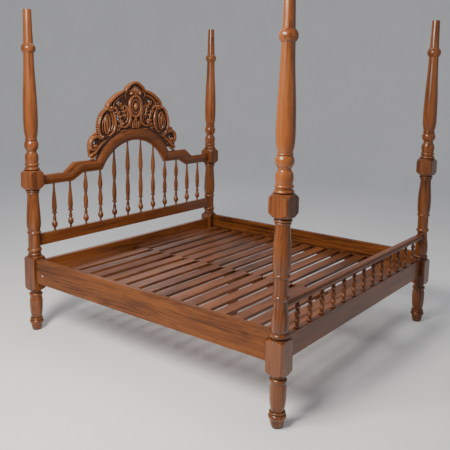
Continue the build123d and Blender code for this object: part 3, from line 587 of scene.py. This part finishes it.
# %% [markdown]
# ## Carving the crest
#
# The crest is a pierced board, carved on its front in bands that swell, bend and curl like
# leaves. The solid model holds the sawn board. The carving is built here as one mesh: each
# band is swept along a smooth line through a few given points, half round, with a veiner's
# groove along its crown and both ends drawn out thin. A band at the board's edge reaches further
# back, so that it wraps the edge. One half is drawn, in millimetres from the bed's middle and from
# the top of the arch, and mirrored.

# %% Carving tools
rail_low, rail_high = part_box("headboard_top_rail")
ARCH_TOP = rail_high[2]
BOARD_SET_BACK = 0.005
GROUND = rail_low[1] + BOARD_SET_BACK
BAND_SIDES = 14
STEPS = 7
POINT_LENGTH = STEPS * 0.9
POINT_BLUNTNESS = 0.08
GROOVE_WIDTH = 0.28
BEAD_AROUND, BEAD_UP = 16, 10
RING_STEPS = 16


def smooth_line(points):
    """Points on a Catmull-Rom curve through the given ones, as (x, height, half width)."""
    ends = [points[0]] + list(points) + [points[-1]]
    line = []
    for a, b, c, d in zip(ends, ends[1:], ends[2:], ends[3:]):
        for step in range(STEPS):
            t = step / STEPS
            line.append(tuple(
                0.5 * (2 * q + (r - p) * t + (2 * p - 5 * q + 4 * r - s) * t ** 2
                       + (3 * q - p - 3 * r + s) * t ** 3)
                for p, q, r, s in zip(a, b, c, d)
            ))
    return line + [tuple(points[-1])]


class Carving:
    """Collects bands and beads, and turns them into one mesh."""

    def __init__(self):
        self.points, self.faces = [], []

    def place(self, x, height, proud):
        """A point at x and height above the arch, this proud of the board's front."""
        return (x * MM, GROUND - proud * MM, ARCH_TOP + height * MM)

    def band(self, points, depth=1.6, groove=0.32, pointed=True, back=0.35):
        """A band through (x, height, half width) points.

        depth is the height of its crown as a share of its half width, and back is how far it
        reaches behind the board's front as a share of that height.
        """
        line = smooth_line(points)
        first = len(self.points)
        for i, (x, height, width) in enumerate(line):
            before, after = line[max(i - 1, 0)], line[min(i + 1, len(line) - 1)]
            run, rise = after[0] - before[0], after[1] - before[1]
            length = math.hypot(run, rise) or 1.0
            side = (-rise / length, run / length)
            if pointed:
                along = min(i, len(line) - 1 - i) / POINT_LENGTH
                width *= math.sqrt(min(1.0, POINT_BLUNTNESS + along))
            for k in range(BAND_SIDES):
                turn = 2 * math.pi * k / BAND_SIDES
                across, out = math.cos(turn), max(math.sin(turn), -back)
                if out > 0:
                    out *= 1 - groove * math.exp(-((across / GROOVE_WIDTH) ** 2))
                edge_x, edge_height = side[0] * across * width, side[1] * across * width
                self.points.append(self.place(x + edge_x, height + edge_height, out * width * depth))
        rings = len(line)
        for i in range(rings - 1):
            for k in range(BAND_SIDES):
                low, high = first + i * BAND_SIDES, first + (i + 1) * BAND_SIDES
                after = (k + 1) % BAND_SIDES
                self.faces.append((low + k, low + after, high + after, high + k))
        self.faces.append(tuple(first + k for k in reversed(range(BAND_SIDES))))
        self.faces.append(tuple(first + (rings - 1) * BAND_SIDES + k for k in range(BAND_SIDES)))

    def bead(self, x, height, half_width, half_height=None, *, proud, lean=0.0):
        """A rounded bead or boss, round unless half_height is given."""
        half_height = half_height or half_width
        first, around, up = len(self.points), BEAD_AROUND, BEAD_UP
        for j in range(1, up):
            polar = math.pi * j / up
            for k in range(around):
                turn = 2 * math.pi * k / around
                a = math.sin(polar) * math.cos(turn) * half_width
                b = math.sin(polar) * math.sin(turn) * half_height
                self.points.append(self.place(x + a * math.cos(lean) - b * math.sin(lean),
                                              height + a * math.sin(lean) + b * math.cos(lean),
                                              math.cos(polar) * proud))
        for j in range(up - 2):
            for k in range(around):
                low, high, after = first + j * around, first + (j + 1) * around, (k + 1) % around
                self.faces.append((low + k, high + k, high + after, low + after))
        self.faces.append(tuple(first + k for k in range(around)))
        self.faces.append(tuple(first + (up - 2) * around + k for k in reversed(range(around))))

    def mirrored(self):
        """Add the other half."""
        count = len(self.points)
        self.points += [(-x, y, z) for x, y, z in self.points]
        self.faces += [tuple(count + v for v in reversed(face)) for face in self.faces]

    def finished(self, name, material):
        """Make the mesh and its object, which rides with the bed."""
        mesh = bpy.data.meshes.new(name)
        mesh.from_pydata(self.points, [], self.faces)
        mesh.polygons.foreach_set("use_smooth", [True] * len(mesh.polygons))
        mesh.materials.append(material)
        mesh.update()
        piece = bpy.data.objects.new(name, mesh)
        scene.collection.objects.link(piece)
        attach(piece, "root")
        print(name, len(self.points), "points,", len(self.faces), "faces")


def ring(x, height, half_width, half_height, thick, lean=0.0):
    """Points of a band bent into an oval."""
    points = []
    for i in range(RING_STEPS + 1):
        turn = 2 * math.pi * i / RING_STEPS
        a, b = half_width * math.cos(turn), half_height * math.sin(turn)
        points.append((x + a * math.cos(lean) - b * math.sin(lean),
                       height + a * math.sin(lean) + b * math.cos(lean), thick))
    return points


# %% [markdown]
# ## The pattern of the crest
#
# From the middle out: an oval cartouche with a bead, on a reeded foot, under a hood with a fanned
# leaf; two S-scrolls; leafy stems; a C-scroll rolled over at the shoulder; an almond leaf inside a
# beaded rim; and a rolled leaf lying down along the arch at each end.

# %% Carve the scrolls
# How far back the bands at the board's edge reach.
WRAP = 0.9

half = Carving()
half.band([(98, 308, 12), (154, 290, 15), (210, 263, 16), (264, 224, 16), (292, 190, 14),
           (286, 160, 12), (260, 152, 11), (242, 170, 10), (256, 188, 7)], back=WRAP)
half.bead(264, 174, 15, proud=24)
half.band([(112, 268, 6), (160, 256, 8), (204, 231, 9), (232, 200, 8), (228, 168, 7),
           (206, 158, 6), (198, 172, 5)])
half.bead(212, 170, 11, proud=17)
half.band([(60, 300, 5), (86, 296, 7), (110, 276, 6), (104, 252, 5), (90, 256, 4)])
half.bead(47, 281, 17, proud=26)
for tip_x, tip_height, root in ((0, 352, 4), (26, 342, 10), (50, 324, 16), (72, 302, 22)):
    half.band([(root, 258, 4), ((root + tip_x) / 2 + 3, 300, 8), (tip_x, tip_height, 6)], groove=0.15)

half.band([(100, 186, 8), (66, 136, 13), (57, 80, 13), (80, 34, 12), (120, 14, 11), (150, 28, 9),
           (152, 52, 8), (134, 58, 6), (128, 44, 5)])
half.bead(140, 42, 14, proud=22)
half.band([(120, 200, 5), (92, 146, 7), (82, 92, 8), (98, 54, 6), (118, 42, 4)])
half.band([(248, 160, 8), (226, 112, 12), (216, 52, 13), (232, -6, 12), (270, -40, 9), (296, -38, 6)])
half.band([(264, 146, 5), (248, 102, 7), (240, 52, 8), (254, 4, 7), (282, -18, 5)])

# %% Carve the leaves
LOBE_EVERY = 5
LOBE_SHRINKS = 0.45
LOBE_OPENS, LOBE_TURNS_IN = 0.95, 0.45


def leaf(stem, lobe, thick):
    """A stem with a row of pointed lobes down both sides."""
    half.band([(x, height, thick) for x, height in stem], groove=0.2)
    line = smooth_line([(x, height, thick) for x, height in stem])
    for i in range(4, len(line) - 3, LOBE_EVERY):
        x, height, _ = line[i]
        ahead = line[i + 2]
        heading = math.atan2(ahead[1] - height, ahead[0] - x)
        size = lobe * (1 - LOBE_SHRINKS * i / len(line))
        for turn in (-1, 1):
            near, far = heading + turn * LOBE_OPENS, heading + turn * LOBE_TURNS_IN
            bend = (x + math.cos(near) * size * 0.6, height + math.sin(near) * size * 0.6)
            tip = (bend[0] + math.cos(far) * size * 0.5, bend[1] + math.sin(far) * size * 0.5)
            lobe_line = [(x, height, thick * 0.6), (*bend, thick * 1.15), (*tip, thick * 0.5)]
            half.band(lobe_line, groove=0.1)


leaf([(176, -16), (164, 36), (166, 88), (184, 132), (208, 146)], 34, 8)
leaf([(112, 74), (118, 118), (134, 164), (164, 198), (186, 204)], 30, 7)
leaf([(206, -30), (192, 8), (190, 40)], 22, 6)
half.band([(60, 6, 6), (56, 34, 9), (44, 62, 6)])
half.band([(88, -2, 6), (112, -12, 8), (140, -12, 6), (160, -28, 4)])

# %% Carve the beaded rim and the almond leaf
RIM = [(306, 164, 7), (352, 126, 10), (382, 56, 11), (381, -4, 10), (360, -42, 7)]
half.band(RIM, groove=0.0, back=WRAP)
for x, height, _ in smooth_line(RIM)[2:-1:2]:
    half.bead(x + 5, height, 17, 7.5, proud=20, lean=math.atan2(height - 50, x - 290))
half.band([(290, 138, 5), (326, 100, 6), (350, 48, 7), (347, 2, 6), (332, -26, 5)])
half.band(ring(300, 46, 27, 72, 7, lean=0.06), pointed=False, groove=0.0)
half.band([(296, -20, 4), (300, 20, 10), (304, 70, 10), (308, 108, 4)], groove=0.5)
for height in range(-12, 100, 16):
    half.band([(300, height, 4), (312, height + 12, 5), (318, height + 20, 3)], groove=0.0)
    half.band([(300, height, 4), (289, height + 12, 5), (284, height + 20, 3)], groove=0.0)
half.bead(312, 162, 15, proud=22)
half.bead(352, -50, 16, proud=24)

# %% Carve the end scroll
half.band([(336, -82, 8), (374, -54, 13), (414, -42, 16), (454, -58, 16), (472, -96, 15),
           (462, -136, 13), (430, -140, 11), (412, -116, 10), (428, -98, 7)], back=WRAP)
half.bead(436, -116, 15, proud=24)
half.band([(366, -34, 7), (394, -22, 10), (424, -18, 12), (444, -30, 7)], back=WRAP)
half.band([(344, -104, 6), (384, -124, 10), (424, -160, 13), (460, -182, 13), (476, -198, 7)],
          back=WRAP)
half.band([(400, -176, 6), (426, -192, 10), (454, -208, 10), (472, -214, 5)], back=WRAP)
half.band([(300, -70, 5), (330, -86, 8), (366, -108, 8), (396, -134, 5)])

# %% Carve the cartouche and its reeded foot
half.mirrored()
half.band([(-112, 292, 10), (-90, 320, 14), (-60, 346, 14), (-28, 364, 14), (0, 368, 14),
           (28, 364, 14), (60, 346, 14), (90, 320, 14), (112, 292, 10)], back=WRAP)
half.band(ring(0, 178, 64, 84, 13), pointed=False)
half.band(ring(0, 178, 39, 53, 8), pointed=False, groove=0.0)
half.bead(0, 178, 56, 76, proud=5)
half.bead(0, 174, 21, 34, proud=28)
half.band([(-24, 262, 4), (0, 276, 9), (24, 262, 4)])
half.band([(0, 92, 16), (0, 76, 13), (0, 64, 13)], pointed=False)
half.band([(-46, 62, 8), (0, 66, 9), (46, 62, 8)], groove=0.0)
for reed in (-33, -11, 11, 33):
    half.band([(reed * 1.1, 56, 10), (reed, 30, 10), (reed * 0.9, 4, 9)], groove=0.0, pointed=False)
half.finished("crest_carving", carved_wood)

# %% [markdown]
# ## The cushion moulding on the arched rail
#
# The face of the arched rail isn't flat: it swells softly from edge to edge, like a cushion, and
# the swells meet where the arch stands on its shelves. The same sweep makes it, far wider than
# it is high, with no groove. It runs along the middle of the rail, in three lengths: the arch,
# and the shelf and the lower end on each side.

# %% Moulding on the arched rail
MOULDING_DEPTH = 0.40
# The arch's middle line, its centre measured down from the arch's top.
ARCH_MIDDLE_RADIUS = 435.0
ARCH_MIDDLE_CENTRE = -483.0
ARCH_HALF_TURN = math.radians(59.0)
ARCH_HALF_STEPS = 8
ARCH_HALF_WIDTH = 37
# The right-hand shelf, its step down and the end of the rail, as (x, height, half width).
SHELF_RUN = [(366, -263, 32), (420, -263, 33), (480, -263, 33), (552, -266, 32), (600, -288, 30),
             (648, -316, 28), (700, -323, 27), (810, -323, 27), (921, -323, 27)]

moulding = Carving()
moulding.band(SHELF_RUN, depth=MOULDING_DEPTH, groove=0.0, pointed=False)
moulding.mirrored()
arch_run = []
for i in range(2 * ARCH_HALF_STEPS + 1):
    turn = ARCH_HALF_TURN * (i / ARCH_HALF_STEPS - 1)
    height = ARCH_MIDDLE_CENTRE + ARCH_MIDDLE_RADIUS * math.cos(turn)
    arch_run.append((ARCH_MIDDLE_RADIUS * math.sin(turn), height, ARCH_HALF_WIDTH))
moulding.band(arch_run, depth=MOULDING_DEPTH, groove=0.0, pointed=False)
moulding.finished("arch_moulding", rail_wood_x)

# %% [markdown]
# ## Slats
#
# The slats are thinner boards with a thin finish, a touch pinker than the frame and not so shiny.
# They lie in two rows, and the right-hand row is pushed a little towards the head.

# %% Slat material
SLAT_PITCH = 0.125
SLAT_WIDTH = 0.082
PITCHES_BEYOND = 40
SLAT_LIGHT = (0.240, 0.080, 0.027, 1)
SLAT_DARK = (0.038, 0.011, 0.005, 1)


def slat_finish(side):
    """The finish of one row. The edge of the board at the head tells where each board begins."""
    _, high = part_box("slats_" + side)
    first_start = high[1] - SLAT_PITCH + (SLAT_PITCH - SLAT_WIDTH) / 2
    # Counting from well beyond the foot keeps every board's number above nought.
    start = first_start - PITCHES_BEYOND * SLAT_PITCH
    # Painted shade in the hollows, and wear with a painted highlight on the edges, as in the other
    # woods.
    return wood("slat_wood_" + side, "x", light=SLAT_LIGHT, dark=SLAT_DARK, ring=0.008,
                knots=0.45, coat=0.08, coat_rough=0.35, hollow_shade=0.75, wear_highlight=0.35,
                slats=(SLAT_PITCH, start))


slat_wood = {side: slat_finish(side) for side in ("left", "right")}
print("slat woods:", [material.name for material in slat_wood.values()])

# %% [markdown]
# ## Metal
#
# The bolts, barrel nuts and screws are zinc plated steel. Little of it shows. Each barrel nut has
# one end flush with its side rail, outside near the head and inside near the foot, and from a
# distance the outer ones are pale dots.

# %% Steel material
BRIGHT_ZINC = (0.66, 0.64, 0.60, 1)
DULL_ZINC = (0.42, 0.39, 0.34, 1)
ZINC_CLOUDS = 180.0


def zinc_plate():
    material = bpy.data.materials.new("zinc_plate")
    material.use_nodes = True
    tree = material.node_tree
    shader = tree.nodes["Principled BSDF"]
    place = node(tree, "TexCoord").outputs["Object"]
    cloud = noise(tree, place, ZINC_CLOUDS, 3.0)
    color = blend_color(tree, ramp(tree, cloud, 0.35, 0.7), BRIGHT_ZINC, DULL_ZINC)
    plug(tree, shader.inputs["Base Color"], color)
    plug(tree, shader.inputs["Roughness"], ramp(tree, cloud, 0.3, 0.7, 0.28, 0.5))
    shader.inputs["Metallic"].default_value = 1.0
    return material


zinc = zinc_plate()
print("metal:", zinc.name)

# %% [markdown]
# ## Dressing the solids
#
# Every solid keeps its shape and gets its finish in its own material slots. The first words of
# a piece's name say which finish it takes.

# %% Assign the finishes
FINISHES = (
    ("post_", post_wood),
    ("side_rail_", rail_wood_y),
    ("slat_ledger_", frame_wood_y),
    ("slats_left", slat_wood["left"]),
    ("slats_right", slat_wood["right"]),
    ("centre_beam", frame_wood_y),
    ("centre_leg", frame_wood_z),
    ("crest_dowels", frame_wood_z),
    ("headboard_spindle_", spindle_wood),
    ("gallery_spindle_", spindle_wood),
    ("headboard_crest", crest_board_wood),
    ("bed_bolts", zinc),
    ("barrel_nuts", zinc),
    ("ledger_screws", zinc),
    ("bolt_plugs", rail_wood_x),
    ("", rail_wood_x),
)


def finish_of(name):
    return next(material for start, material in FINISHES if name.startswith(start))


for name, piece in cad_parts.items():
    piece.data.materials.clear()
    piece.data.materials.append(finish_of(name))
    for face in piece.data.polygons:
        face.material_index = 0
print("dressed", len(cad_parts), "solids")
